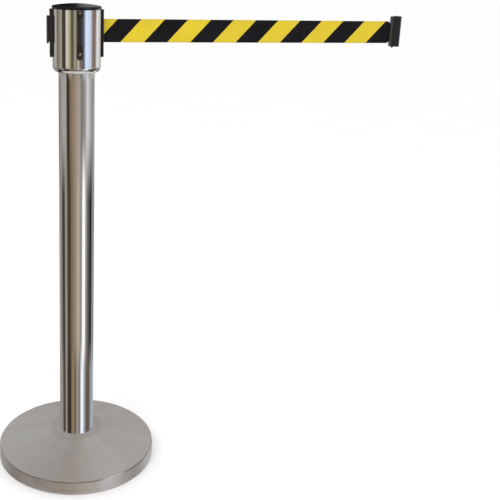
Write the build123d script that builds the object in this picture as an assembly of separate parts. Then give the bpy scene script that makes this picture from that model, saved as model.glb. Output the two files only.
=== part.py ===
from build123d import *
import math
import os

# Retractable belt stanchion. Millimetres, +Z up, origin at the base's centre on the floor.
# The belt leaves the head along +X and ends in a clip at its free end.

# Base
FLOOR_PAD_R, FLOOR_PAD_T = 175.8, 3.0
WEIGHT_R, WEIGHT_TOP = 170.0, 13.5
BOSS_R, BOSS_TOP = 46.0, 61.5
COVER_R, COVER_T = 177.8, 1.0
RIM_LOW, RIM_TOP = 1.0, 28.0
SEAT_Z, SEAT_R = 62.5, 59.0

# Post
POST_R, POST_WALL = 38.0, 1.2
POST_TOP = 892.0
ROD_R = 5.0

# Head cup
CUP_R, CUP_WALL = 50.3, 1.2
CUP_FLOOR_T = 2.0
CUP_CORNER_R = 12.0
CUP_TOP = 1021.0
CUP_FLOOR = POST_TOP + CUP_FLOOR_T
CUP_BORE = CUP_R - CUP_WALL

# Plates on the cup, one each quarter turn
PLATE_W, PLATE_FACE = 12.6, 55.6
PLATE_LOW, PLATE_TOP = 922.5, 1020.6
PLATE_SCREW_Z = (934.0, 1015.8)
QUARTERS = (0, 90, 180, 270)
SCREW_R, SCREW_HEAD_R = 1.5, 3.2
SCREW_SEAT, SCREW_HEAD_OUT = PLATE_FACE - 1.3, PLATE_FACE + 0.5
TEE_FACE, TEE_W, TEE_NECK_W = 62.0, 12.2, 7.0
TEE_RIDGE_W, TEE_EDGE_T = 1.6, 1.8
TEE_LOW, TEE_TOP = 951.0, 1007.0
TEE_GAP = 2.4

# Belt and its roll
BELT_LOW, BELT_H, BELT_T = 953.1, 48.0, 0.8
BELT_LENGTH, BELT_OUT = 2000.0, 645.0
HUB_R = 15.0
ROLL_R = math.sqrt(HUB_R**2 + (BELT_LENGTH - BELT_OUT) * BELT_T / math.pi)
SPOOL_X, SPOOL_Y = -4.0, -8.0
FLANGE_R, FLANGE_T = 28.5, 1.4
AXLE_R, RUNNING_GAP = 3.0, 0.05
ARBOR_R = 6.0
PIN_X, PIN_R = 34.0, 2.0
SLOT_HALF = 1.6

# Cassette that holds the spool inside the cup
CASSETTE_R = 48.8
CASSETTE_LOW, CASSETTE_T = 912.0, 3.0
CASSETTE_TOP = 1008.0
PILLAR_IN, PILLAR_W, LUG_W = 38.5, 20.0, 9.6
LID_SCREW_ANGLES = (10, 100, 190, 280)
DRUM_R, DRUM_T, DRUM_TOP = 24.0, 1.3, 943.0
SPRING_T, SPRING_TURNS = 0.4, 7

# Clip at the belt's free end
CLIP_BACK, CLIP_FACE = 700.0, 721.0
CLIP_LOW, CLIP_TOP = 946.2, 1012.6
CLIP_W, SHELL_R = 21.8, 4.6
BEAD_W, BEAD_R = 15.6, 4.4
CHANNEL_LIP, CHANNEL_D, CHANNEL_W, CHANNEL_SLOT = 2.1, 4.6, 13.0, 7.8
CHANNEL_TOP = 1009.6
CLIP_PIN_X = 709.3


def block(x0, x1, y0, y1, z0, z1):
    """A box between two corners."""
    centre = ((x0 + x1) / 2, (y0 + y1) / 2, (z0 + z1) / 2)
    return Pos(*centre) * Box(x1 - x0, y1 - y0, z1 - z0)


def rod(r, z0, z1, x=0, y=0):
    """An upright cylinder."""
    return Pos(x, y, (z0 + z1) / 2) * Cylinder(r, z1 - z0)


def tube(r_out, r_in, z0, z1, x=0, y=0):
    """An upright tube."""
    return rod(r_out, z0, z1, x, y) - rod(r_in, z0 - 1, z1 + 1, x, y)


def upright(face, z0, z1):
    """A flat outline, drawn from above, given a height."""
    return extrude(Plane.XY.offset(z0) * face, z1 - z0, dir=(0, 0, 1))


def across(points, half_width):
    """An outline drawn as (x, z), given a thickness to both sides of y = 0."""
    face = Plane.XZ * Polygon(*points, align=None)
    return extrude(face, half_width, both=True)


def dome_arc(r, z_edge, z_top):
    """Arc from an edge at radius r up to the axis, level where it meets the axis."""
    rise = z_top - z_edge
    sphere_r = (r * r + rise * rise) / (2 * rise)
    middle = math.asin(r / sphere_r) / 2
    mid_point = (sphere_r * math.sin(middle), z_top - sphere_r * (1 - math.cos(middle)))
    return ThreePointArc((r, z_edge), mid_point, (0, z_top))


def turned(wire_edges):
    """A solid turned about Z from a closed outline drawn as (radius, height)."""
    face = make_face(Plane.XZ * wire_edges)
    return revolve(face, Axis.Z)


def radial_rod(r, r0, r1, z, angle):
    """A cylinder lying along a radius of the head."""
    lying = Pos((r0 + r1) / 2, 0, z) * Rot(0, 90, 0) * Cylinder(r, r1 - r0)
    return Rot(0, 0, angle) * lying


def cut_all(body, tools):
    for tool in tools:
        body = body - tool
    return body


def save(shape, node):
    export_step(shape, "parts/" + node + ".step")


# ---- Base -------------------------------------------------------------------------------------

def cover_outline(inset):
    """The dome's outline, moved in and down by the sheet's thickness for its inner side."""
    rim_r, crown_r = COVER_R - inset, COVER_R - 3.0 - inset
    drop = -inset
    edges = [
        Line((0, RIM_LOW - 5), (rim_r, RIM_LOW - 5)),
        Line((rim_r, RIM_LOW - 5), (rim_r - 0.6, RIM_TOP + drop)),
        ThreePointArc(
            (rim_r - 0.6, RIM_TOP + drop),
            (rim_r - 1.2, RIM_TOP + 1.4 + drop),
            (crown_r, RIM_TOP + 2.3 + drop),
        ),
        ThreePointArc(
            (crown_r, RIM_TOP + 2.3 + drop), (120, 46.9 + drop), (SEAT_R + 3, 60.4 + drop)
        ),
        ThreePointArc(
            (SEAT_R + 3, 60.4 + drop), (SEAT_R + 1, 61.6 + drop), (SEAT_R - 3, SEAT_Z + drop)
        ),
        Line((SEAT_R - 3, SEAT_Z + drop), (0, SEAT_Z + drop)),
        Line((0, SEAT_Z + drop), (0, RIM_LOW - 5)),
    ]
    return Curve() + edges


def base_cover():
    shell = turned(cover_outline(0)) - turned(cover_outline(COVER_T))
    below_rim = rod(COVER_R + 5, RIM_LOW - 10, RIM_LOW)
    return shell - below_rim - rod(12, 50, 70)


def base_weight():
    """Cast disc with a boss under the cover's seat and a recess for the rod's nut."""
    disc = rod(WEIGHT_R, FLOOR_PAD_T, WEIGHT_TOP)
    boss = rod(BOSS_R, FLOOR_PAD_T, BOSS_TOP)
    body = disc + boss - rod(16, FLOOR_PAD_T - 1, 16) - rod(ROD_R + 0.3, 10, 70)
    root = body.edges().filter_by(GeomType.CIRCLE).filter_by_position(Axis.Z, 13, 14)
    return fillet(root.sort_by(SortBy.RADIUS)[0], 6)


def rod_end(z_washer, z_nut):
    """Washer and hexagon nut of one end of the tie rod."""
    washer = tube(12, ROD_R + 0.3, z_washer, z_washer + 2)
    nut = upright(RegularPolygon(9.8, 6), z_nut, z_nut + 8)
    return washer, nut - rod(ROD_R + 0.02, z_nut - 1, z_nut + 9)


def post_plug(low, high, rim_low):
    """A plug that centres the tube, with a thicker rim and a hole for the tie rod."""
    inner = POST_R - POST_WALL
    plug = rod(inner, low, high) - rod(ROD_R + 0.3, low - 1, high + 1)
    return plug - (rod(inner - 4, rim_low, high) - rod(12, rim_low, high))


def save_base_and_post():
    save(rod(FLOOR_PAD_R, 0, FLOOR_PAD_T), "floor_pad")
    save(base_weight(), "base_weight")
    save(base_cover(), "base_cover")
    save(tube(POST_R, POST_R - POST_WALL, SEAT_Z, POST_TOP), "post_tube")
    save(post_plug(SEAT_Z, SEAT_Z + 22, SEAT_Z + 6), "post_foot_plug")
    save(post_plug(POST_TOP - 16, POST_TOP, POST_TOP - 10), "post_top_plug")
    save(rod(ROD_R, 5, 908), "tie_rod")
    low_washer, low_nut = rod_end(14, 6)
    top_washer, top_nut = rod_end(CUP_FLOOR, CUP_FLOOR + 2)
    save(Compound(children=[low_washer, top_washer]), "tie_washers")
    save(Compound(children=[low_nut, top_nut]), "tie_nuts")


# ---- Head -------------------------------------------------------------------------------------

def head_cup():
    outer = fillet(rod(CUP_R, POST_TOP, CUP_TOP).edges().sort_by(Axis.Z)[0], CUP_CORNER_R)
    inner = rod(CUP_BORE, CUP_FLOOR, CUP_TOP + 1)
    inner = fillet(inner.edges().sort_by(Axis.Z)[0], CUP_CORNER_R - CUP_WALL)
    belt_slot = block(45, 55, -SLOT_HALF, SLOT_HALF, BELT_LOW - 2, BELT_LOW + BELT_H + 2)
    holes = [radial_rod(SCREW_R + 0.2, 45, 55, z, a) for z in PLATE_SCREW_Z for a in QUARTERS]
    return cut_all(outer - inner - belt_slot - rod(ROD_R + 0.3, 890, 896), holes)


def plate_blank():
    """A narrow upright plate with a rounded lower end, seated on the cup's curve, at +X."""
    plate = block(46, PLATE_FACE, -PLATE_W / 2, PLATE_W / 2, PLATE_LOW, PLATE_TOP)
    low_corners = plate.edges().filter_by(Axis.X).sort_by(Axis.Z)[:2]
    plate = fillet(low_corners, 4.5)
    face_edges = plate.faces().sort_by(Axis.X)[-1].edges()
    plate = fillet(face_edges, 1.0) - rod(CUP_R + 0.02, 900, 1030)
    holes = [radial_rod(SCREW_R + 0.15, 45, 60, z, 0) for z in PLATE_SCREW_Z]
    seats = [radial_rod(SCREW_HEAD_R + 0.3, SCREW_SEAT, 60, z, 0) for z in PLATE_SCREW_Z]
    return cut_all(plate, holes + seats)


def receiver(angle):
    """A plate with the T-shaped rail that another stanchion's clip slides down over."""
    half_neck, half_w, half_ridge = TEE_NECK_W / 2, TEE_W / 2, TEE_RIDGE_W / 2
    neck = block(PLATE_FACE - 1, TEE_FACE - 2, -half_neck, half_neck, TEE_LOW + 3, TEE_TOP)
    back, edge = PLATE_FACE + TEE_GAP, PLATE_FACE + TEE_GAP + TEE_EDGE_T
    half_outline = [(back, half_w), (edge, half_w), (TEE_FACE, half_ridge)]
    outline = half_outline + [(x, -y) for x, y in reversed(half_outline)]
    head = upright(Polygon(*outline, align=None), TEE_LOW, TEE_TOP)
    head = fillet(head.edges().filter_by(Axis.Z), 0.5)
    head = head - across([(TEE_FACE + 1, TEE_TOP - 2), (TEE_FACE + 1, TEE_TOP + 1), (edge, TEE_TOP + 1)], 20)
    return Rot(0, 0, angle) * (plate_blank() + neck + head)


def outlet_plate():
    """The plate that the belt leaves through, with a lip round its slot."""
    slot = block(45, 60, -1.3, 1.3, BELT_LOW - 1, BELT_LOW + BELT_H + 1)
    middle = Pos(0, BELT_LOW + BELT_H / 2)
    mouth = Plane.YZ.offset(PLATE_FACE) * middle * Rectangle(5.0, BELT_H + 4.4)
    return plate_blank() - slot - extrude(mouth, -1.2, taper=40)


def plate_screw(z, angle):
    """A sunk pan-head screw with a cross recess, through a plate and the cup into the cassette."""
    shank = radial_rod(SCREW_R, 42, SCREW_SEAT, z, 0)
    head = radial_rod(SCREW_HEAD_R, SCREW_SEAT, SCREW_HEAD_OUT, z, 0)
    head = fillet(head.edges().sort_by(Axis.X)[-1], 1.2)
    slot_a = block(SCREW_HEAD_OUT - 0.9, SCREW_HEAD_OUT + 1, -0.35, 0.35, z - 1.8, z + 1.8)
    slot_b = block(SCREW_HEAD_OUT - 0.9, SCREW_HEAD_OUT + 1, -1.8, 1.8, z - 0.35, z + 0.35)
    return Rot(0, 0, angle) * (shank + head - slot_a - slot_b)


def cap():
    """A shallow domed lid with a rounded edge and a locating ring under it."""
    edge_r, band_top, crown = CUP_R + 0.8, CUP_TOP + 3.8, CUP_TOP + 10.8
    outer = Curve() + [
        Line((0, CUP_TOP), (edge_r, CUP_TOP)),
        Line((edge_r, CUP_TOP), (edge_r, band_top)),
        ThreePointArc(
            (edge_r, band_top), (edge_r - 0.7, band_top + 1.6), (edge_r - 2.4, band_top + 2.5)
        ),
        dome_arc(edge_r - 2.4, band_top + 2.5, crown),
        Line((0, crown), (0, CUP_TOP)),
    ]
    hollow = Curve() + [
        Line((0, CUP_TOP - 1), (edge_r - 4.5, CUP_TOP - 1)),
        Line((edge_r - 4.5, CUP_TOP - 1), (edge_r - 4.5, band_top - 0.5)),
        dome_arc(edge_r - 4.5, band_top - 0.5, crown - 2.5),
        Line((0, crown - 2.5), (0, CUP_TOP - 1)),
    ]
    ring = tube(33, 31, CASSETTE_TOP + CASSETTE_T + 0.5, CUP_TOP + 7)
    return turned(outer) - turned(hollow) + ring


# ---- Cassette ---------------------------------------------------------------------------------

def pillar(angle, low, high, width=PILLAR_W):
    """An upright bar against the cup's wall that a plate's screws bite into."""
    half = width / 2
    bar = block(PILLAR_IN, 50, -half, half, low, high) & rod(CASSETTE_R, low, high)
    return Rot(0, 0, angle) * bar


def cassette_base():
    """Lower disc with four feet and four pillars; the pillar at the outlet is split for the belt."""
    body = rod(CASSETTE_R, CASSETTE_LOW, CASSETTE_LOW + CASSETTE_T)
    floor = CASSETTE_LOW + CASSETTE_T
    for angle in QUARTERS:
        body = body + pillar(angle, floor, CASSETTE_TOP)
        body = body + Rot(0, 0, angle + 45) * rod(5, CUP_FLOOR, CASSETTE_LOW, 28, 0)
    belt_way = block(30, 60, -SLOT_HALF, SLOT_HALF, floor, CASSETTE_TOP + 1)
    thread_low, thread_top = CASSETTE_TOP - 12, CASSETTE_TOP + 1
    holes = [rod(AXLE_R + 0.02, 900, 920, SPOOL_X, SPOOL_Y)]
    holes += [rod(PIN_R + 0.02, 900, 920, PIN_X, s * guide_pin_y()) for s in (-1, 1)]
    holes += [radial_rod(SCREW_R + 0.05, 41, 55, PLATE_SCREW_Z[0], a) for a in QUARTERS]
    holes += [rod(1.3, thread_low, thread_top, *lid_screw_at(a)) for a in LID_SCREW_ANGLES]
    return cut_all(body - belt_way, holes)


def lid_screw_at(angle):
    return 44 * math.cos(math.radians(angle)), 44 * math.sin(math.radians(angle))


def guide_pin_y():
    """Sideways place of the two guide pins, just clear of the belt's faces."""
    return PIN_R + BELT_T / 2 + 0.1


def cassette_top():
    """Upper disc with four lugs for the plates' upper screws."""
    top = CASSETTE_TOP + CASSETTE_T
    body = rod(CASSETTE_R, CASSETTE_TOP, top)
    for angle in QUARTERS:
        body = body + pillar(angle, top, CUP_TOP - 0.4, LUG_W)
    holes = [rod(AXLE_R + 0.02, 1000, 1020, SPOOL_X, SPOOL_Y)]
    holes += [rod(PIN_R + 0.02, 1000, 1020, PIN_X, s * guide_pin_y()) for s in (-1, 1)]
    holes += [radial_rod(SCREW_R + 0.05, 41, 55, PLATE_SCREW_Z[1], a) for a in QUARTERS]
    holes += [rod(1.55, CASSETTE_TOP - 1, top + 1, *lid_screw_at(a)) for a in LID_SCREW_ANGLES]
    return cut_all(body, holes)


def lid_screw(angle):
    x, y = lid_screw_at(angle)
    top = CASSETTE_TOP + CASSETTE_T
    return rod(1.25, CASSETTE_TOP - 10, top, x, y) + rod(2.2, top, top + 1.4, x, y)


def spring_drum():
    """Cup fixed under the spool that holds the power spring, with a lid round the arbor."""
    floor = CASSETTE_LOW + CASSETTE_T
    wall = tube(DRUM_R, DRUM_R - DRUM_T, floor, DRUM_TOP, SPOOL_X, SPOOL_Y)
    bottom = tube(DRUM_R, AXLE_R + 0.3, floor, floor + DRUM_T, SPOOL_X, SPOOL_Y)
    lid = tube(DRUM_R, ARBOR_R + 0.4, DRUM_TOP - DRUM_T, DRUM_TOP, SPOOL_X, SPOOL_Y)
    return wall + bottom + lid


def power_spring():
    """Flat strip wound in a spiral between the arbor and the drum's wall."""
    r_in, r_out = ARBOR_R + 0.5, DRUM_R - DRUM_T - 0.3 - SPRING_T
    steps = SPRING_TURNS * 12

    def spiral(offset):
        points = []
        for i in range(steps + 1):
            t = i / steps
            a, r = 2 * math.pi * SPRING_TURNS * t, r_in + (r_out - r_in) * t + offset
            points.append((r * math.cos(a), r * math.sin(a)))
        return points

    inner, outer = spiral(0), spiral(SPRING_T)
    outline = Curve() + [
        Spline(*inner),
        Line(inner[-1], outer[-1]),
        Spline(*outer),
        Line(inner[0], outer[0]),
    ]
    low = CASSETTE_LOW + CASSETTE_T + DRUM_T + 0.5
    high = DRUM_TOP - DRUM_T - 0.5
    return Pos(SPOOL_X, SPOOL_Y, 0) * upright(make_face(outline), low, high)


def spool():
    """Hub and two flanges, with a bore for bushes and arbor."""
    x, y = SPOOL_X, SPOOL_Y
    low, high = BELT_LOW - 0.4, BELT_LOW + BELT_H + 0.4
    body = rod(HUB_R, low - FLANGE_T, high + FLANGE_T, x, y)
    body = body + rod(FLANGE_R, low - FLANGE_T, low, x, y) + rod(FLANGE_R, high, high + FLANGE_T, x, y)
    bore = rod(4.52, 940, 1010, x, y) + rod(ARBOR_R + 0.02, 940, low + 8, x, y)
    return body - bore - rod(1.6, low + 4, high + 5, x + 11, y)


def spool_bush(low):
    return tube(4.5, AXLE_R + RUNNING_GAP, low, low + 9, SPOOL_X, SPOOL_Y)


def spring_arbor():
    low, high = CASSETTE_LOW + CASSETTE_T + 2, BELT_LOW + 7.6
    return tube(ARBOR_R, AXLE_R + RUNNING_GAP, low, high, SPOOL_X, SPOOL_Y)


def belt_path_from_roll():
    """Corner points of the belt's centre line: roll, guide pin, outlet."""
    roll, pin = ROLL_R + 0.4 + BELT_T / 2, PIN_R + 0.1 + BELT_T / 2
    dx, dy = PIN_X - SPOOL_X, guide_pin_y() - SPOOL_Y
    run = math.atan2(dy, dx) - math.asin((roll + pin) / math.hypot(dx, dy))
    side = (math.cos(run + math.pi / 2), math.sin(run + math.pi / 2))
    start = (SPOOL_X + roll * side[0], SPOOL_Y + roll * side[1])
    bend = (PIN_X - pin * math.tan(-run / 2), 0)
    return start, bend


def belt():
    """The belt from the roll past the guide pins to the clip, cornered where it enters the clip."""
    start, bend = belt_path_from_roll()
    half = BELT_T / 2
    run = math.atan2(bend[1] - start[1], bend[0] - start[0])
    nx, ny = -math.sin(run) * half, math.cos(run) * half
    miter = half * math.tan(run / 2)
    end = CLIP_BACK + 7.5
    outline = [
        (start[0] + nx, start[1] + ny),
        (bend[0] - miter, half),
        (end, half),
        (end, -half),
        (bend[0] + miter, -half),
        (start[0] - nx, start[1] - ny),
    ]
    strip = upright(Polygon(*outline, align=None), BELT_LOW, BELT_LOW + BELT_H)
    return strip - belt_corner(BELT_LOW, 1) - belt_corner(BELT_LOW + BELT_H, -1)


def belt_corner(edge_z, up):
    """Wedge that takes a corner off the belt's end, and its edge beyond it."""
    cut = 4.5
    points = [
        (CLIP_BACK - 1.5 - cut, edge_z - up),
        (CLIP_BACK - 1.5 - cut, edge_z),
        (CLIP_BACK - 1.5, edge_z + up * cut),
        (CLIP_BACK + 20, edge_z + up * cut),
        (CLIP_BACK + 20, edge_z - up),
    ]
    return across(points, 5)


def save_head():
    save(head_cup(), "head_cup")
    save(cap(), "cap")
    save(receiver(180), "receiver_left")
    save(receiver(270), "receiver_front")
    save(receiver(90), "receiver_back")
    save(outlet_plate(), "outlet_plate")
    screws = [plate_screw(z, a) for a in QUARTERS for z in PLATE_SCREW_Z]
    save(Compound(children=screws), "plate_screws")


def save_cassette():
    save(cassette_base(), "cassette_base")
    save(cassette_top(), "cassette_top")
    save(Compound(children=[lid_screw(a) for a in LID_SCREW_ANGLES]), "cassette_screws")
    save(spring_drum(), "spring_drum")
    save(power_spring(), "power_spring")
    low, top = CASSETTE_LOW, CASSETTE_TOP + CASSETTE_T
    save(rod(AXLE_R, low, top, SPOOL_X, SPOOL_Y), "spool_axle")
    pins = [rod(PIN_R, low, top, PIN_X, s * guide_pin_y()) for s in (-1, 1)]
    save(Compound(children=pins), "guide_pins")
    save(spool(), "spool")
    bushes = [spool_bush(BELT_LOW + 10), spool_bush(BELT_LOW + BELT_H - 8)]
    save(Compound(children=bushes), "spool_bushes")
    save(spring_arbor(), "spring_arbor")
    save(tube(ROLL_R, HUB_R, BELT_LOW, BELT_LOW + BELT_H, SPOOL_X, SPOOL_Y), "belt_roll")
    anchor_low, anchor_top = BELT_LOW + 4, BELT_LOW + BELT_H + 1.5
    save(rod(1.5, anchor_low, anchor_top, SPOOL_X + 11, SPOOL_Y), "belt_anchor_pin")
    save(belt(), "belt")


# ---- Clip -------------------------------------------------------------------------------------

def rounded_column(x0, x1, width, radius, top):
    """An upright block with rounded corners and a softened top edge."""
    column = block(x0, x1, -width / 2, width / 2, CLIP_LOW, top)
    column = fillet(column.edges().filter_by(Axis.Z), radius)
    return fillet(column.faces().sort_by(Axis.Z)[-1].edges(), 1.0)


def clip_body():
    """Moulded channel, closed at the top, with a chamber at the back for the belt's end."""
    bead = rounded_column(CLIP_BACK, 712, BEAD_W, BEAD_R, CLIP_TOP - 0.8)
    body = bead + rounded_column(708.2, CLIP_FACE, CLIP_W, SHELL_R, CLIP_TOP)
    body = body - across([(699, 963), (702.4, CLIP_LOW - 1), (699, CLIP_LOW - 1)], 20)
    chamber = block(702.8, 712.0, -3.6, 3.6, CLIP_LOW - 1, 1006)
    slit = block(699, 704, -0.8, 0.8, BELT_LOW + 4.2, BELT_LOW + BELT_H - 4.2)
    deep = CLIP_FACE - CHANNEL_LIP
    channel = block(deep - CHANNEL_D, deep, -CHANNEL_W / 2, CHANNEL_W / 2, CLIP_LOW - 1, CHANNEL_TOP)
    mouth = block(deep - 1, CLIP_FACE + 1, -CHANNEL_SLOT / 2, CHANNEL_SLOT / 2, CLIP_LOW - 1, CHANNEL_TOP)
    pin_hole = rod(1.52, 1000, 1010, CLIP_PIN_X, 0)
    return body - chamber - slit - channel - mouth - pin_hole


def clip_core():
    """Clamp bar that fills the chamber behind the belt's end, with a pointed foot."""
    bar = block(708.0, 711.9, -3.5, 3.5, CLIP_LOW + 0.2, 1005.9) - rod(1.52, 940, 1010, CLIP_PIN_X, 0)
    cheek = block(703.0, 708.0, 0.75, 3.5, CLIP_LOW + 0.2, 1005.9)
    other = block(703.0, 708.0, -3.5, -0.75, CLIP_LOW + 0.2, 1005.9)
    foot = across([(706.0, CLIP_LOW + 0.3), (707.3, 942.2), (710.6, CLIP_LOW + 0.3)], 1.6)
    core = bar + cheek + other + foot
    return core & block(700, 720, -3.5, 3.5, 940, 1006) - block(700, 707.99, -0.75, 0.75, 946, 1006)


def save_clip():
    save(clip_body(), "clip_body")
    save(clip_core(), "clip_core")
    save(rod(1.5, CLIP_LOW + 2, 1008.5, CLIP_PIN_X, 0), "clip_pin")


os.makedirs("parts", exist_ok=True)
save_base_and_post()
save_head()
save_cassette()
save_clip()
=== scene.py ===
import math

import bmesh
import bpy
from mathutils import Euler, Matrix, Vector


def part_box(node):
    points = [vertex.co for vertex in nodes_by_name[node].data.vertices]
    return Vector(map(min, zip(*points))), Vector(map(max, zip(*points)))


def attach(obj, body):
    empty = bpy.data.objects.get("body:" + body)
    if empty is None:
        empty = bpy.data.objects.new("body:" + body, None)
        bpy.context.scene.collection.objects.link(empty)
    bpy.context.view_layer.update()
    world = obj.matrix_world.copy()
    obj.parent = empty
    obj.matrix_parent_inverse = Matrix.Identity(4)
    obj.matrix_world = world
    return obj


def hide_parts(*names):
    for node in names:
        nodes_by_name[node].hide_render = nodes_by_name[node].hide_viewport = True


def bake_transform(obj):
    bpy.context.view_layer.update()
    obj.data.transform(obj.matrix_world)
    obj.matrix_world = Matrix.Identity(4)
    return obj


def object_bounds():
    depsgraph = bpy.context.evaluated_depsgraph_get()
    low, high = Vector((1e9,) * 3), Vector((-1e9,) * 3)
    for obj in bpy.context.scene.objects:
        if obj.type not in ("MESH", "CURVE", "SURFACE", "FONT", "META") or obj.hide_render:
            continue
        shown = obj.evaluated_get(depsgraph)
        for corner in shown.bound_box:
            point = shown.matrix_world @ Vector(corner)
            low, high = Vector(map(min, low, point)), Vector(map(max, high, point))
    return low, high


# Retractable belt stanchion: brushed domed base, polished post and head, black fittings, striped belt.

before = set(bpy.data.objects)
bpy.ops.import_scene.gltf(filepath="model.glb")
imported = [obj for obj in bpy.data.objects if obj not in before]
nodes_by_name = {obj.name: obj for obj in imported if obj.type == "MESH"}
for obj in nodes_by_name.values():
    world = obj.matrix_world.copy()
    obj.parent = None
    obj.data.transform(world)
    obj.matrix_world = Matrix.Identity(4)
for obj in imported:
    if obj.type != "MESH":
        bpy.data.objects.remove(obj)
cad_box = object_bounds()


# ---- Node helpers -----------------------------------------------------------------------------

class Tree:
    """Short calls that add linked nodes to one node tree and return their first output."""

    def __init__(self, tree):
        self.tree = tree

    def node(self, kind, inputs=(), **settings):
        made = self.tree.nodes.new(kind)
        for key, value in settings.items():
            setattr(made, key, value)
        for key, value in dict(inputs).items():
            if isinstance(value, bpy.types.NodeSocket):
                self.tree.links.new(value, made.inputs[key])
            else:
                made.inputs[key].default_value = value
        return made

    def math(self, operation, a, b=0.0):
        return self.node("ShaderNodeMath", {0: a, 1: b}, operation=operation).outputs[0]

    def between(self, value, low, high, to_low=0.0, to_high=1.0, smooth=False):
        """value from low..high carried over to to_low..to_high, and held beyond."""
        kind = "SMOOTHSTEP" if smooth else "LINEAR"
        inputs = {"Value": value, "From Min": low, "From Max": high, "To Min": to_low, "To Max": to_high}
        return self.node("ShaderNodeMapRange", inputs, interpolation_type=kind).outputs[0]

    def position(self):
        return self.node("ShaderNodeTexCoord").outputs["Object"]

    def split(self, vector):
        return self.node("ShaderNodeSeparateXYZ", {0: vector}).outputs

    def join(self, x, y, z):
        return self.node("ShaderNodeCombineXYZ", {0: x, 1: y, 2: z}).outputs[0]

    def scaled(self, vector, factors):
        return self.node("ShaderNodeVectorMath", {0: vector, 1: factors}, operation="MULTIPLY").outputs[0]

    def noise(self, vector, scale=1.0, detail=3.0, roughness=0.5):
        inputs = {"Vector": vector, "Scale": scale, "Detail": detail, "Roughness": roughness}
        return self.node("ShaderNodeTexNoise", inputs).outputs["Fac"]

    def mix(self, factor, a, b, blend_type="MIX"):
        made = self.node("ShaderNodeMix", {0: factor, 6: a, 7: b}, data_type="RGBA", blend_type=blend_type)
        return made.outputs[2]

    def grey(self, value):
        return self.node("ShaderNodeCombineColor", {0: value, 1: value, 2: value}).outputs[0]

    def ramp(self, value, stops):
        made = self.node("ShaderNodeValToRGB", {0: value})
        elements = made.color_ramp.elements
        while len(elements) > 1:
            elements.remove(elements[-1])
        for index, (place, colour) in enumerate(stops):
            element = elements[0] if index == 0 else elements.new(place)
            element.position = place
            element.color = (*colour, 1.0)
        return made.outputs[0]

    def bump(self, height, distance, strength=1.0, normal=None):
        inputs = {"Height": height, "Distance": distance, "Strength": strength}
        if normal is not None:
            inputs["Normal"] = normal
        return self.node("ShaderNodeBump", inputs).outputs[0]


def new_material(name, **sockets):
    """A material, its tree and its shader, with sockets set on the shader itself."""
    material = bpy.data.materials.new(name)
    material.use_nodes = True
    shader = material.node_tree.nodes["Principled BSDF"]
    for key, value in sockets.items():
        shader.inputs[key.replace("_", " ")].default_value = value
    return material, Tree(material.node_tree), shader


def connect(tree, shader, **sockets):
    for key, value in sockets.items():
        tree.tree.links.new(value, shader.inputs[key.replace("_", " ")])


def tone(level, tint=(1.0, 1.0, 1.0)):
    return tuple(level * part for part in tint)


def rgba(colour):
    return (*colour, 1.0)


# ---- Metals -----------------------------------------------------------------------------------

# Heights on the base cover: the folded edge at its crown, and the flat seat round the post.
CROWN_LOW, CROWN_TOP, SEAT_LOW = 0.0280, 0.0304, 0.0605
# Painted light on the base, as factors on the dome's colour: the rim painted lighter, and painted shade on
# the folded edge and the seat.
RIM_PAINTED_LIGHT, CROWN_PAINTED_SHADE, SEAT_PAINTED_SHADE = 1.29, 0.66, 0.92


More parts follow.
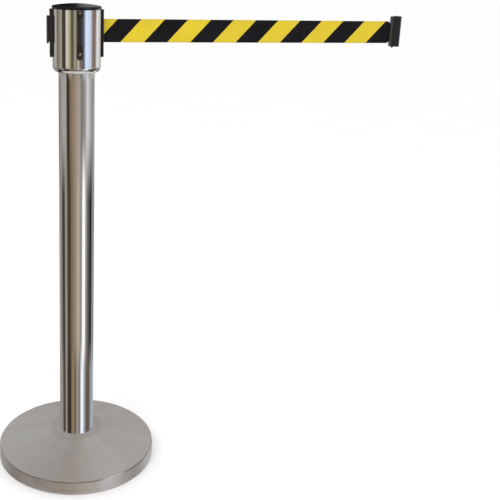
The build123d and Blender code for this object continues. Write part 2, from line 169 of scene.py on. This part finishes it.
def brushed_steel():
    """Satin steel brushed round the axis, with haze, warm and neutral sectors of painted reflection, the
    rim's colour painted lighter, painted shade on the crown edge and the seat, and a glossier crown edge.
    """
    material, tree, shader = new_material("brushed_steel", Metallic=0.88, Anisotropic=0.45)
    shader.inputs["Anisotropic Rotation"].default_value = 0.25
    place = tree.position()
    x, y, z = tree.split(place)
    radius = tree.math("SQRT", tree.math("ADD", tree.math("MULTIPLY", x, x), tree.math("MULTIPLY", y, y)))
    across_grain = tree.math("SUBTRACT", radius, z)
    around = tree.join(tree.math("DIVIDE", x, radius), tree.math("DIVIDE", y, radius), 0.0)

    def grain(pitch, along):
        spread = tree.scaled(around, (along, along, 1.0))
        lines = tree.join(0.0, 0.0, tree.math("DIVIDE", across_grain, pitch))
        both = tree.node("ShaderNodeVectorMath", {0: spread, 1: lines}, operation="ADD").outputs[0]
        return tree.noise(both, detail=2.0, roughness=0.6)

    coarse, fine = grain(0.0022, 2.2), grain(0.0006, 5.0)
    haze = tree.noise(place, scale=9.0, detail=2.0)
    # Painted reflection: warm and neutral fan-shaped sectors round the axis stand for the fans that brushed
    # metal reflects. The haze mixed in is tone that differs at random.
    sectors = tree.math("MULTIPLY", tree.noise(around, 2.4), 0.7)
    haze_and_painted_fans = tree.math("ADD", tree.math("MULTIPLY", haze, 0.3), sectors)
    colour = tree.mix(tree.between(haze_and_painted_fans, 0.4, 0.6), rgba((0.654, 0.608, 0.560)), rgba((0.705, 0.692, 0.676)))
    on_rim = tree.between(z, CROWN_LOW, CROWN_TOP, 1.0, 0.25)
    uneven = tree.math("MULTIPLY", tree.between(coarse, 0.3, 0.7, -0.12, 0.12), on_rim)
    streaks = tree.math("ADD", uneven, 1.0)
    above_rim = tree.between(z, CROWN_LOW, CROWN_LOW + 0.0008)
    below_dome = tree.between(z, CROWN_TOP - 0.0004, CROWN_TOP, 1.0, 0.0)
    worn = tree.math("MULTIPLY", above_rim, below_dome)
    # Painted light: a painted shade line darkens the folded crown edge, painted shade darkens the seat round
    # the post, and the rim is painted lighter. The crown's wear mask also lowers its roughness, which is
    # real wear.
    crown_painted_shade = tree.between(worn, 0.0, 1.0, 1.0, CROWN_PAINTED_SHADE)
    seat = tree.between(z, SEAT_LOW, SEAT_LOW + 0.001, 1.0, SEAT_PAINTED_SHADE)
    rim = tree.between(z, CROWN_LOW - 0.002, CROWN_LOW, RIM_PAINTED_LIGHT, 1.0)
    painted_light_zones = tree.math("MULTIPLY", tree.math("MULTIPLY", crown_painted_shade, seat), rim)
    shade = tree.math("MULTIPLY", streaks, painted_light_zones)
    colour = tree.mix(1.0, colour, tree.grey(shade), "MULTIPLY")
    dull = tree.between(haze, 0.3, 0.7, -0.02, 0.04)
    satin = tree.math("ADD", tree.between(fine, 0.3, 0.7, 0.34, 0.44), dull)
    rough = tree.math("MULTIPLY", satin, tree.between(worn, 0.0, 1.0, 1.0, 0.22))
    scratched = tree.bump(fine, 0.00003, 0.5)
    normal = tree.bump(tree.math("MULTIPLY", coarse, on_rim), 0.00005, 0.5, scratched)
    connect(tree, shader, Base_Color=colour, Roughness=rough, Normal=normal)
    return material


def polished_steel():
    """Mirror-polished steel with a faint cloudiness and fine wiping marks."""
    material, tree, shader = new_material("polished_steel", Metallic=1.0)
    place = tree.position()
    cloud = tree.noise(place, scale=26.0, detail=3.0)
    wiping = tree.noise(tree.scaled(place, (900.0, 900.0, 60.0)), detail=2.0)
    colour = tree.mix(tree.between(cloud, 0.35, 0.65), rgba((0.86, 0.85, 0.835)), rgba((0.89, 0.885, 0.88)))
    smeared = tree.between(wiping, 0.45, 0.8, 0.0, 0.02)
    rough = tree.math("ADD", tree.between(cloud, 0.3, 0.7, 0.02, 0.04), smeared)
    wave = tree.noise(tree.scaled(place, (60.0, 60.0, 9.0)), detail=1.0)
    connect(tree, shader, Base_Color=colour, Roughness=rough, Normal=tree.bump(wave, 0.00008, 0.35))
    return material


def plain_metal(name, bright, dull, rough_low, rough_high, grain_pitch=0.0012):
    """Small turned or pressed metal parts: tarnish patches and fine machining lines."""
    material, tree, shader = new_material(name, Metallic=1.0)
    place = tree.position()
    patches = tree.noise(place, scale=140.0, detail=4.0)
    lines = tree.noise(tree.scaled(place, (200.0, 200.0, 1.0 / grain_pitch)), detail=2.0)
    colour = tree.mix(tree.between(patches, 0.35, 0.65), rgba(bright), rgba(dull))
    rough = tree.between(patches, 0.3, 0.7, rough_low, rough_high)
    connect(tree, shader, Base_Color=colour, Roughness=rough, Normal=tree.bump(lines, 0.00004, 0.5))
    return material


def cast_iron():
    material, tree, shader = new_material("cast_iron", Metallic=1.0)
    place = tree.position()
    pits = tree.noise(place, scale=420.0, detail=5.0)
    rust = tree.noise(place, scale=18.0, detail=5.0)
    colour = tree.mix(tree.between(rust, 0.5, 0.7), rgba((0.07, 0.068, 0.066)), rgba((0.12, 0.075, 0.05)))
    rough = tree.between(rust, 0.4, 0.7, 0.55, 0.8)
    connect(tree, shader, Base_Color=colour, Roughness=rough, Normal=tree.bump(pits, 0.0006, 0.6))
    return material


# ---- Plastics and rubber ----------------------------------------------------------------------

def worn_paler(tree, place, body, worn):
    """The colour with scuffed places: (middle and half width along x, lower and upper end, tone)."""
    scuffs = tree.between(tree.noise(tree.scaled(place, (500.0, 500.0, 40.0))), 0.3, 0.7, 0.75, 1.15)
    x, _, z = tree.split(place)
    for middle, half, low, high, level in worn:
        offset = tree.math("ABSOLUTE", tree.math("SUBTRACT", x, middle))
        across = tree.math("MULTIPLY", tree.between(offset, 0.3 * half, half, 1.0, 0.0, True), scuffs)
        below_top = tree.between(z, high - 0.002, high, 1.0, 0.0)
        along = tree.math("MULTIPLY", tree.between(z, low, low + 0.002), below_top)
        band = tree.math("MULTIPLY", across, along)
        body = tree.mix(band, body, rgba(tone(level, (0.95, 0.97, 1.08))))
    return body


def moulded_plastic(name, colour, rough_low, rough_high, grain=0.0009, depth=0.00008, worn=(),
                    specular=0.5):
    """Injection-moulded plastic: spark-eroded grain, slight flow marks, dust, and any worn places."""
    material, tree, shader = new_material(name, Specular_IOR_Level=specular)
    place = tree.position()
    skin = tree.noise(place, scale=1.0 / grain, detail=3.0, roughness=0.6)
    flow = tree.noise(tree.scaled(place, (40.0, 40.0, 12.0)), detail=3.0)
    dusty = tuple(min(1.0, part * 1.35 + 0.004) for part in colour)
    body = tree.mix(tree.between(flow, 0.35, 0.7), rgba(colour), rgba(dusty))
    sheen = tree.between(flow, 0.3, 0.7, rough_low, rough_high)
    rough = tree.math("ADD", sheen, tree.between(skin, 0.3, 0.7, -0.03, 0.03))
    if worn:
        body = worn_paler(tree, place, body, worn)
    connect(tree, shader, Base_Color=body, Roughness=rough, Normal=tree.bump(skin, depth, 0.6))
    return material


def rubber():
    material, tree, shader = new_material("rubber", Specular_IOR_Level=0.3)
    place = tree.position()
    crumb = tree.noise(place, scale=700.0, detail=4.0)
    scuff = tree.noise(place, scale=25.0, detail=3.0)
    colour = tree.mix(tree.between(scuff, 0.4, 0.7), rgba((0.018, 0.018, 0.018)), rgba((0.05, 0.048, 0.046)))
    rough = tree.between(crumb, 0.3, 0.7, 0.65, 0.85)
    connect(tree, shader, Base_Color=colour, Roughness=rough, Normal=tree.bump(crumb, 0.0003, 0.5))
    return material


# ---- Webbing ----------------------------------------------------------------------------------

# Stripes repeat every STRIPE_PITCH along the belt and lean STRIPE_LEAN along it per unit of height.
STRIPE_PITCH = 0.1003
STRIPE_LEAN = 0.93
LAST_STRIPE_FROM_CLIP = 0.0575
HEM = 0.003
YARN_X, YARN_Z = 0.0015, 0.0011
YELLOW, BLACK = (0.75, 0.57, 0.027), (0.006, 0.0055, 0.008)


def webbing(name, striped=True):
    """Woven polyester with firm edges, in slanted black and yellow stripes or all black."""
    material, tree, shader = new_material(name, Specular_IOR_Level=0.2, Sheen_Weight=0.03)
    shader.inputs["Sheen Roughness"].default_value = 0.4
    belt_low, belt_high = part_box("belt")[0].z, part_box("belt")[1].z
    clip_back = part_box("clip_body")[0].x
    place = tree.position()
    x, _, z = tree.split(place)

    def wave(value, pitch, operation="SINE"):
        return tree.math(operation, tree.math("MULTIPLY", value, math.pi / pitch))

    yarns = tree.math("MULTIPLY", wave(x, YARN_X), wave(z, YARN_Z))
    fuzz = tree.noise(place, scale=900.0, detail=3.0)
    ragged = tree.between(fuzz, 0.3, 0.7, -0.0005, 0.0005)
    height = tree.math("SUBTRACT", z, belt_low)
    slanted = tree.math("SUBTRACT", x, tree.math("MULTIPLY", height, STRIPE_LEAN))
    from_clip = tree.math("SUBTRACT", tree.math("ADD", slanted, ragged), clip_back - LAST_STRIPE_FROM_CLIP)
    turns = tree.math("FRACT", tree.math("DIVIDE", from_clip, STRIPE_PITCH))
    is_yellow = tree.math("MULTIPLY", tree.between(turns, 0.497, 0.503), 1.0 if striped else 0.0)
    soil = tree.noise(tree.scaled(place, (12.0, 12.0, 30.0)), detail=4.0)
    yellow = tree.mix(tree.between(soil, 0.35, 0.7), rgba(YELLOW), rgba((0.68, 0.515, 0.034)))
    black = tree.mix(tree.between(soil, 0.35, 0.7), rgba(BLACK), rgba((0.009, 0.0085, 0.011)))
    dyed = tree.mix(is_yellow, black, yellow)
    middle = (belt_low + belt_high) / 2
    from_middle = tree.math("ABSOLUTE", tree.math("SUBTRACT", z, middle))
    edge = tree.between(from_middle, middle - belt_low - 0.0024, middle - belt_low - 0.0018)
    selvedge = tree.between(edge, 0.0, 1.0, 1.0, 0.9)
    shade = tree.math("MULTIPLY", tree.between(yarns, -1.0, 1.0, 0.86, 1.06), selvedge)
    colour = tree.mix(1.0, dyed, tree.grey(shade), "MULTIPLY")
    rough = tree.between(fuzz, 0.3, 0.7, 0.62, 0.78)
    raised = tree.math("ADD", yarns, tree.math("MULTIPLY", fuzz, 0.5))
    connect(tree, shader, Base_Color=colour, Roughness=rough, Normal=tree.bump(raised, 0.00012, 0.5))
    return material


# ---- Dressing the CAD nodes -------------------------------------------------------------------

def dress(material, *names):
    for name in names:
        for slot in nodes_by_name[name].material_slots:
            slot.material = material


# The front and back rails' edges, out from their middle, and the tone of worn black plastic.
RAIL_EDGE = 0.0056
WORN_TONE = 0.03


def dress_frame():
    (back, _, low), (_, _, high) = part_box("clip_body")
    rail = (low + 0.0085, high - 0.005)
    rubbed = [(side * RAIL_EDGE, 0.0010, *rail, WORN_TONE) for side in (-1, 1)]
    glossy_black = moulded_plastic(
        "plate_plastic", (0.0015, 0.0015, 0.002), 0.10, 0.15,
        depth=0.00003, worn=rubbed, specular=0.8)
    lid_black = moulded_plastic(
        "cap_plastic", (0.004, 0.004, 0.005), 0.22, 0.3, 0.0016, 0.00001, specular=0.35)
    cassette_black = moulded_plastic("cassette_plastic", (0.03, 0.03, 0.032), 0.45, 0.6)
    head_screw = plain_metal("black_screw", (0.58, 0.585, 0.60), (0.40, 0.40, 0.41), 0.16, 0.28)
    bright = plain_metal("bright_steel", (0.66, 0.65, 0.63), (0.52, 0.51, 0.49), 0.18, 0.3)
    zinc = plain_metal("zinc_steel", (0.60, 0.61, 0.62), (0.42, 0.43, 0.42), 0.3, 0.48)
    dress(polished_steel(), "post_tube", "head_cup")
    dress(rubber(), "floor_pad")
    dress(cast_iron(), "base_weight")
    plug_grey = moulded_plastic("plug_plastic", (0.16, 0.16, 0.17), 0.4, 0.55)
    dress(plug_grey, "post_foot_plug", "post_top_plug")
    dress(zinc, "tie_rod", "tie_nuts", "tie_washers", "spring_drum")
    dress(lid_black, "cap")
    dress(glossy_black, "receiver_left", "receiver_front", "receiver_back", "outlet_plate")
    # The clip is worn on its back and front faces, and the plates on the edges of their rails.
    low, high = low - 0.002, high + 0.002
    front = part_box("clip_body")[1].x
    handled = [(x, 0.0012, low, high, WORN_TONE) for x in (back + 0.0006, front - 0.0006)]
    clip_black = moulded_plastic(
        "clip_plastic", (0.002, 0.002, 0.003), 0.10, 0.15,
        depth=0.00003, worn=handled, specular=1.0)
    dress(clip_black, "clip_body")
    dress(moulded_plastic("clip_core_plastic", (0.008, 0.008, 0.009), 0.42, 0.52), "clip_core")
    dress(cassette_black, "cassette_base", "cassette_top")
    dress(moulded_plastic("spool_plastic", (0.62, 0.61, 0.57), 0.35, 0.45), "spool")
    dress(head_screw, "plate_screws")
    dress(bright, "cassette_screws", "spool_axle", "guide_pins", "belt_anchor_pin")
    dress(bright, "clip_pin", "spring_arbor")
    dress(plain_metal("brass", (0.75, 0.53, 0.24), (0.55, 0.37, 0.16), 0.22, 0.4), "spool_bushes")
    dress(plain_metal("spring_steel", (0.22, 0.26, 0.33), (0.30, 0.22, 0.14), 0.2, 0.35), "power_spring")


# ---- Base cover -------------------------------------------------------------------------------

COVER_SHEET = 0.001
ROUND_STEPS = 320
# How far the rim's top edge lies below the seat, and how far the rim leans in up to it.
RIM_DROP, RIM_LEAN = 0.0345, 0.0006
SEAT_R, HOLE_R = 0.056, 0.012
# Outline points as (distance in from the rim, height above the rim's top edge).
CROWN_BEND, CROWN_END = (0.0012, 0.0014), (0.003, 0.0023)
# Outline points as (radius, drop below the seat).
DOME_MIDDLE, SHOULDER, SEAT_BEND = (0.12, 0.0156), (0.062, 0.0021), (0.06, 0.0009)
RIM_STEPS, BEND_STEPS, DOME_STEPS, SEAT_STEPS = 8, 10, 60, 6


def arc(start, through, end, steps):
    """Points on the circle through three (radius, height) points, the first left out."""
    (ax, ay), (bx, by), (cx, cy) = start, through, end
    d = 2 * (ax * (by - cy) + bx * (cy - ay) + cx * (ay - by))
    a2, b2, c2 = ax * ax + ay * ay, bx * bx + by * by, cx * cx + cy * cy
    mx = (a2 * (by - cy) + b2 * (cy - ay) + c2 * (ay - by)) / d
    my = (a2 * (cx - bx) + b2 * (ax - cx) + c2 * (bx - ax)) / d
    r = math.hypot(ax - mx, ay - my)
    a0 = math.atan2(ay - my, ax - mx)
    sweep = (math.atan2(cy - my, cx - mx) - a0 + math.pi) % (2 * math.pi) - math.pi
    angles = [a0 + sweep * i / steps for i in range(1, steps + 1)]
    return [(mx + r * math.cos(a), my + r * math.sin(a)) for a in angles]


def cover_profile(inset):
    """The cover's outline from the foot of its rim to the hole in its seat, as (radius, height)."""
    low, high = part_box("base_cover")
    rim_r, seat_z = high.x - inset, high.z - inset
    rim_z = high.z - RIM_DROP - inset

    def by_rim(point):
        return (rim_r - point[0], rim_z + point[1])

    def by_seat(point):
        return (point[0], seat_z - point[1])

    rise, lean = (rim_z - low.z) / RIM_STEPS, RIM_LEAN / RIM_STEPS
    points = [(rim_r - lean * i, low.z + rise * i) for i in range(RIM_STEPS + 1)]
    points += arc((rim_r - RIM_LEAN, rim_z), by_rim(CROWN_BEND), by_rim(CROWN_END), BEND_STEPS)
    points += arc(by_rim(CROWN_END), by_seat(DOME_MIDDLE), by_seat(SHOULDER), DOME_STEPS)
    points += arc(by_seat(SHOULDER), by_seat(SEAT_BEND), (SEAT_R, seat_z), BEND_STEPS)
    inwards = (SEAT_R - HOLE_R) / SEAT_STEPS
    return points + [(SEAT_R - inwards * i, seat_z) for i in range(1, SEAT_STEPS + 1)]


def make_base_cover():
    outline = cover_profile(0.0) + list(reversed(cover_profile(COVER_SHEET)))
    mesh = bmesh.new()
    rings = []
    for step in range(ROUND_STEPS):
        angle = 2 * math.pi * step / ROUND_STEPS
        c, s = math.cos(angle), math.sin(angle)
        rings.append([mesh.verts.new((r * c, r * s, z)) for r, z in outline])
    for step in range(ROUND_STEPS):
        ring, following = rings[step], rings[(step + 1) % ROUND_STEPS]
        for i in range(len(outline)):
            j = (i + 1) % len(outline)
            face = mesh.faces.new((ring[i], following[i], following[j], ring[j]))
            face.smooth = True
    half = len(outline) // 2
    for ring in rings:
        for a, b in ((ring[half - 1], ring[half]), (ring[-1], ring[0])):
            mesh.edges.get((a, b)).smooth = False
    bmesh.ops.recalc_face_normals(mesh, faces=mesh.faces)
    data = bpy.data.meshes.new("cover_sheet")
    mesh.to_mesh(data)
    mesh.free()
    cover = bpy.data.objects.new("cover_sheet", data)
    bpy.context.scene.collection.objects.link(cover)
    data.materials.append(brushed_steel())
    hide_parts("base_cover")
    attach(cover, "stand")
    return cover


# ---- Belt -------------------------------------------------------------------------------------

BELT_THICKNESS = 0.0008
ROLL_GAP, PIN_GAP = 0.0004, 0.0001
CORNER_FROM_CLIP, CORNER_CUT = 0.006, 0.0045
FIXED_END_X = 0.046
EDGE_ROUNDING = (0.0, 0.0006, 0.0018, 0.0026)
EDGE_THICKNESS = (0.35, 0.85, 1.0, 0.9)


def belt_route():
    """The belt's centre line seen from above, from its roll past the guide pin to the clip."""
    roll_low, roll_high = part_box("belt_roll")
    pins_low, pins_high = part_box("guide_pins")
    pin_r = (pins_high.x - pins_low.x) / 2
    roll = (roll_high.x - roll_low.x) / 2 + ROLL_GAP + BELT_THICKNESS / 2
    pin = pin_r + PIN_GAP + BELT_THICKNESS / 2
    roll_x, roll_y = (roll_low.x + roll_high.x) / 2, (roll_low.y + roll_high.y) / 2
    pin_x, pin_y = (pins_low.x + pins_high.x) / 2, pins_high.y - pin_r
    dx, dy = pin_x - roll_x, pin_y - roll_y
    run = math.atan2(dy, dx) - math.asin((roll + pin) / math.hypot(dx, dy))
    start = (roll_x - roll * math.sin(run), roll_y + roll * math.cos(run))
    bend = (pin_x - pin * math.tan(-run / 2), 0.0)
    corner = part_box("clip_body")[0].x - CORNER_FROM_CLIP
    straight = (FIXED_END_X, corner - HEM, corner, corner + CORNER_CUT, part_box("belt")[1].x)
    return [start, bend] + [(x, 0.0) for x in straight]


def belt_section(low, high):
    """Half thickness at heights across the belt: thin at the very edge, full inside a firm selvedge."""
    rows = [(low + d, t) for d, t in zip(EDGE_ROUNDING, EDGE_THICKNESS)]
    rows += [(low + (high - low) * i / 8, 0.9) for i in range(1, 8)]
    return rows + [(low + high - z, t) for z, t in reversed(rows[:4])]


def make_belt():
    low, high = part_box("belt")[0].z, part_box("belt")[1].z
    route = belt_route()
    half = BELT_THICKNESS / 2
    mesh = bmesh.new()
    rings = []
    for index, (x, y) in enumerate(route):
        before, after = route[max(index - 1, 0)], route[min(index + 1, len(route) - 1)]
        along = Vector((after[0] - before[0], after[1] - before[1])).normalized()
        side = Vector((-along.y, along.x))
        trim = CORNER_CUT if index >= len(route) - 2 else 0.0
        rows = belt_section(low + trim, high - trim)
        front = [mesh.verts.new((x - side.x * half * t, y - side.y * half * t, z)) for z, t in rows]
        rows.reverse()
        back = [mesh.verts.new((x + side.x * half * t, y + side.y * half * t, z)) for z, t in rows]
        rings.append(front + back)
    for index, (ring, following) in enumerate(zip(rings, rings[1:])):
        for i in range(len(ring)):
            j = (i + 1) % len(ring)
            face = mesh.faces.new((ring[i], following[i], following[j], ring[j]))
            face.smooth, face.material_index = True, int(index >= 3)
    mesh.faces.new(rings[0])
    mesh.faces.new(reversed(rings[-1]))
    bmesh.ops.recalc_face_normals(mesh, faces=mesh.faces)
    data = bpy.data.meshes.new("belt_webbing")
    mesh.to_mesh(data)
    mesh.free()
    belt = bpy.data.objects.new("belt_webbing", data)
    bpy.context.scene.collection.objects.link(belt)
    data.materials.append(cloth)
    data.materials.append(webbing("webbing_hem", striped=False))
    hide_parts("belt")
    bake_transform(belt)


# ---- Studio -----------------------------------------------------------------------------------

WARM, NEUTRAL, TAN = (1.06, 1.0, 0.96), (1.0, 1.0, 1.0), (1.34, 1.0, 0.71)
SAND, OLIVE, BROWN = (1.14, 1.0, 0.86), (1.08, 1.0, 0.6), (1.38, 1.0, 0.85)
MAUVE, BLUE = (1.7, 1.0, 1.13), (0.86, 1.0, 1.25)

# What polished metal mirrors at each height of the room: (compass angle from the front, level, tint).
# The levels were given one by one: the first four heights follow the streaks measured on the
# photograph's head and post, and the others were tried out on the lid, the seat and the base.
HEAD_HEIGHT = [
    (-180, 0.30, WARM), (-165, 0.75, NEUTRAL), (-158, 0.30, WARM), (-120, 0.44, WARM), (-113, 0.22, WARM),
    (-108, 0.12, WARM), (-102, 0.22, OLIVE), (-84, 0.36, SAND), (-77, 0.05, TAN), (-63, 0.04, TAN),
    (-57, 0.60, WARM), (-52, 0.68, SAND), (-44, 0.44, OLIVE), (-40, 0.46, OLIVE), (-31, 0.09, OLIVE),
    (-24, 0.10, OLIVE), (-15, 0.38, SAND), (-8, 0.18, TAN), (1, 0.54, SAND), (6, 0.30, SAND),
    (12, 0.10, MAUVE), (17, 0.20, NEUTRAL), (24, 0.07, MAUVE), (29, 0.22, BLUE), (38, 0.92, BLUE),
    (62, 0.72, BLUE), (72, 0.22, BROWN), (90, 0.15, BROWN), (97, 0.50, NEUTRAL), (106, 0.88, NEUTRAL),
    (130, 0.60, NEUTRAL), (180, 0.30, WARM),
]
UPPER_WALL = [
    (-180, 0.25, WARM), (-168, 0.45, NEUTRAL), (-155, 0.18, WARM), (-134, 0.27, WARM), (-115, 0.36, WARM),
    (-89, 0.41, WARM), (-79, 0.36, WARM), (-72, 0.13, TAN), (-67, 0.008, OLIVE), (-62, 0.008, OLIVE),
    (-56, 0.09, TAN), (-41, 0.19, TAN), (-19, 0.26, TAN), (2, 0.36, SAND), (9, 0.38, SAND),
    (22, 0.25, WARM), (30, 0.19, WARM), (38, 0.31, NEUTRAL), (52, 0.33, NEUTRAL), (60, 0.70, NEUTRAL),
    (70, 0.70, NEUTRAL), (99, 0.37, NEUTRAL), (127, 0.27, NEUTRAL), (150, 0.60, NEUTRAL),
    (180, 0.25, WARM),
]
MIDDLE_WALL = [
    (-180, 0.25, WARM), (-165, 0.45, NEUTRAL), (-155, 0.38, WARM), (-134, 0.33, WARM), (-112, 0.09, WARM),
    (-102, 0.03, WARM), (-94, 0.06, WARM), (-84, 0.38, SAND), (-78, 0.30, SAND), (-67, 0.07, TAN),
    (-54, 0.03, TAN), (-46, 0.12, TAN), (-34, 0.18, TAN), (-12, 0.28, TAN), (2, 0.44, SAND), (9, 0.42, SAND),
    (23, 0.26, NEUTRAL), (28, 0.42, NEUTRAL), (33, 1.15, NEUTRAL), (48, 1.15, NEUTRAL), (54, 0.42, NEUTRAL),
    (70, 0.16, WARM), (80, 0.09, WARM), (90, 0.05, WARM), (98, 0.008, WARM), (105, 0.02, WARM),
    (115, 0.26, NEUTRAL), (130, 0.36, NEUTRAL), (155, 0.18, WARM), (180, 0.25, WARM),
]
NEAR_FLOOR = [
    (-180, 0.28, WARM), (-134, 0.32, WARM), (-120, 0.29, WARM), (-107, 0.07, BROWN), (-95, 0.05, BROWN),
    (-80, 0.38, WARM), (-70, 0.05, TAN), (-50, 0.02, OLIVE), (-41, 0.16, TAN), (-28, 0.26, TAN),
    (-22, 0.12, TAN), (-10, 0.17, TAN), (2, 0.42, WARM), (8, 0.18, WARM), (16, 0.24, WARM),
    (24, 0.90, NEUTRAL), (30, 1.15, NEUTRAL), (38, 0.90, BLUE), (53, 0.26, NEUTRAL), (69, 0.10, TAN),
    (88, 0.10, TAN), (99, 0.28, NEUTRAL), (118, 0.42, BLUE), (138, 0.50, NEUTRAL), (180, 0.28, WARM),
]
ABOVE_HEAD = [
    (-180, 0.46, NEUTRAL), (-115, 0.45, NEUTRAL), (-95, 0.06, WARM), (34, 0.08, WARM), (42, 0.50, NEUTRAL),
    (60, 0.50, NEUTRAL), (68, 0.10, WARM), (98, 0.12, WARM), (118, 0.48, NEUTRAL), (180, 0.46, NEUTRAL),
]
WINDOW = [
    (-180, 0.46, NEUTRAL), (-115, 0.45, NEUTRAL), (-95, 0.06, WARM), (30, 0.08, WARM), (36, 4.6, NEUTRAL),
    (66, 4.6, NEUTRAL), (72, 0.10, WARM), (98, 0.12, WARM), (118, 0.48, NEUTRAL), (180, 0.46, NEUTRAL),
]
CEILING = [
    (-180, 0.46, NEUTRAL), (-120, 0.48, NEUTRAL), (-60, 0.42, SAND), (-20, 0.40, SAND), (40, 0.47, NEUTRAL),
    (110, 0.46, WARM), (180, 0.46, NEUTRAL),
]
BY_THE_FEET = [
    (-180, 0.04, WARM), (0, 0.03, TAN), (108, 0.03, TAN), (120, 0.74, NEUTRAL), (150, 0.74, NEUTRAL),
    (172, 0.04, WARM), (180, 0.04, WARM),
]
FLOOR_BELOW = [
    (-180, 0.58, WARM), (-60, 0.60, WARM), (30, 0.66, WARM), (110, 0.68, WARM), (180, 0.58, WARM),
]
# Where one height of the room gives way to the next, as the sine of the elevation.
ROOM = [
    (FLOOR_BELOW, -0.80, -0.74), (BY_THE_FEET, -0.57, -0.54), (NEAR_FLOOR, -0.47, -0.43),
    (MIDDLE_WALL, -0.29, -0.20), (UPPER_WALL, -0.15, -0.13), (HEAD_HEIGHT, 0.08, 0.17),
    (ABOVE_HEAD, 0.48, 0.52), (WINDOW, 0.62, 0.70),
]


def add_world():
    """Even soft light for matt surfaces, a plain pale backdrop, and a room for metal to mirror."""
    world = bpy.data.worlds.new("studio")
    bpy.context.scene.world = world
    world.use_nodes = True
    world.cycles.sampling_method = "NONE"
    tree = Tree(world.node_tree)
    background = world.node_tree.nodes["Background"]
    x, y, z = tree.split(tree.node("ShaderNodeTexCoord").outputs["Generated"])
    compass = tree.math("ARCTAN2", x, tree.math("MULTIPLY", y, -1.0))
    around = tree.between(compass, -math.pi, math.pi)

    def wall(stops):
        return tree.ramp(around, [((a + 180) / 360, tone(level, tint)) for a, level, tint in stops])

    room = wall(CEILING)
    for stops, low, high in reversed(ROOM):
        room = tree.mix(tree.between(z, low, high, smooth=True), wall(stops), room)
    rays = tree.node("ShaderNodeLightPath").outputs
    light = tree.mix(rays["Is Glossy Ray"], rgba(tone(1.01)), room)
    seen = tree.mix(rays["Is Camera Ray"], light, rgba(tone(0.985)))
    world.node_tree.links.new(seen, background.inputs["Color"])


def floor_material():
    """Pale painted board, very slightly mottled."""
    material, tree, shader = new_material("floor_paint", Specular_IOR_Level=0.0)
    place = tree.position()
    mottle = tree.noise(place, scale=3.0, detail=3.0)
    grit = tree.noise(place, scale=600.0, detail=2.0)
    colour = tree.mix(tree.between(mottle, 0.3, 0.7), rgba(tone(0.965)), rgba(tone(0.98)))
    rough = tree.between(grit, 0.3, 0.7, 0.8, 0.9)
    connect(tree, shader, Base_Color=colour, Roughness=rough, Normal=tree.bump(grit, 0.0001, 0.2))
    return material


def add_floor():
    half = 30.0
    mesh = bpy.data.meshes.new("floor")
    corners = [(-half, -half, 0), (half, -half, 0), (half, half, 0), (-half, half, 0)]
    mesh.from_pydata(corners, [], [(0, 1, 2, 3)])
    floor = bpy.data.objects.new("floor", mesh)
    bpy.context.scene.collection.objects.link(floor)
    mesh.materials.append(floor_material())
    floor.visible_glossy = False


def add_flag():
    """A black board behind and above the head, which only mirrors see: it keeps the lid dark."""
    top = cad_box[1].z
    left, right, back, low, high = -0.5, 0.07, 0.5, top + 0.02, top + 0.6
    mesh = bpy.data.meshes.new("flag")
    corners = [(left, back, low), (right, back, low), (right, back, high), (left, back, high)]
    mesh.from_pydata(corners, [], [(0, 1, 2, 3)])
    flag = bpy.data.objects.new("flag", mesh)
    bpy.context.scene.collection.objects.link(flag)
    dark = {"Base_Color": rgba(tone(0.01)), "Roughness": 1.0, "Specular_IOR_Level": 0.0}
    mesh.materials.append(new_material("flag_cloth", **dark)[0])
    flag.visible_camera = flag.visible_diffuse = flag.visible_shadow = False


def add_area_light(name, at, towards, size, watts):
    data = bpy.data.lights.new(name, "AREA")
    data.size, data.energy = size, watts
    light = bpy.data.objects.new(name, data)
    light.location = at
    light.rotation_euler = (Vector(towards) - Vector(at)).to_track_quat("-Z", "Y").to_euler()
    light.visible_glossy = False
    bpy.context.scene.collection.objects.link(light)


CAMERA_AT = (-0.2122, -1.7688, 1.1398)
CAMERA_PAN, CAMERA_TILT, CAMERA_ROLL = 0.2146, 0.2688, 0.0257
CAMERA_LENS, SHIFT_X, SHIFT_Y = 61.29, 0.19, -0.13


def add_camera():
    data = bpy.data.cameras.new("camera")
    data.sensor_width, data.lens = 36.0, CAMERA_LENS
    data.shift_x, data.shift_y = SHIFT_X, SHIFT_Y
    camera = bpy.data.objects.new("camera", data)
    aim = Euler((math.pi / 2 - CAMERA_TILT, 0, -CAMERA_PAN)).to_matrix()
    turn = aim @ Matrix.Rotation(CAMERA_ROLL, 3, "Z")
    camera.matrix_world = Matrix.Translation(CAMERA_AT) @ turn.to_4x4()
    bpy.context.scene.collection.objects.link(camera)
    bpy.context.scene.camera = camera


# ---- Everything together ----------------------------------------------------------------------

# The satin base and the belt don't show in the polished parts, nor the post in the base.
UNMIRRORED = (
    "belt_webbing", "cover_sheet", "base_weight", "floor_pad", "post_tube", "post_foot_plug",
    "post_top_plug", "tie_rod", "tie_nuts", "tie_washers",
)

cloth = webbing("webbing")
dress_frame()
dress(cloth, "belt_roll")
make_belt()
make_base_cover()
for name in UNMIRRORED:
    bpy.data.objects[name].visible_glossy = False
add_world()
add_floor()
add_flag()
add_area_light("key", (-1.6, -1.8, 2.6), (0.2, 0, 0.5), 1.6, 22.0)
add_camera()
bpy.context.scene.view_settings.view_transform = "Standard"
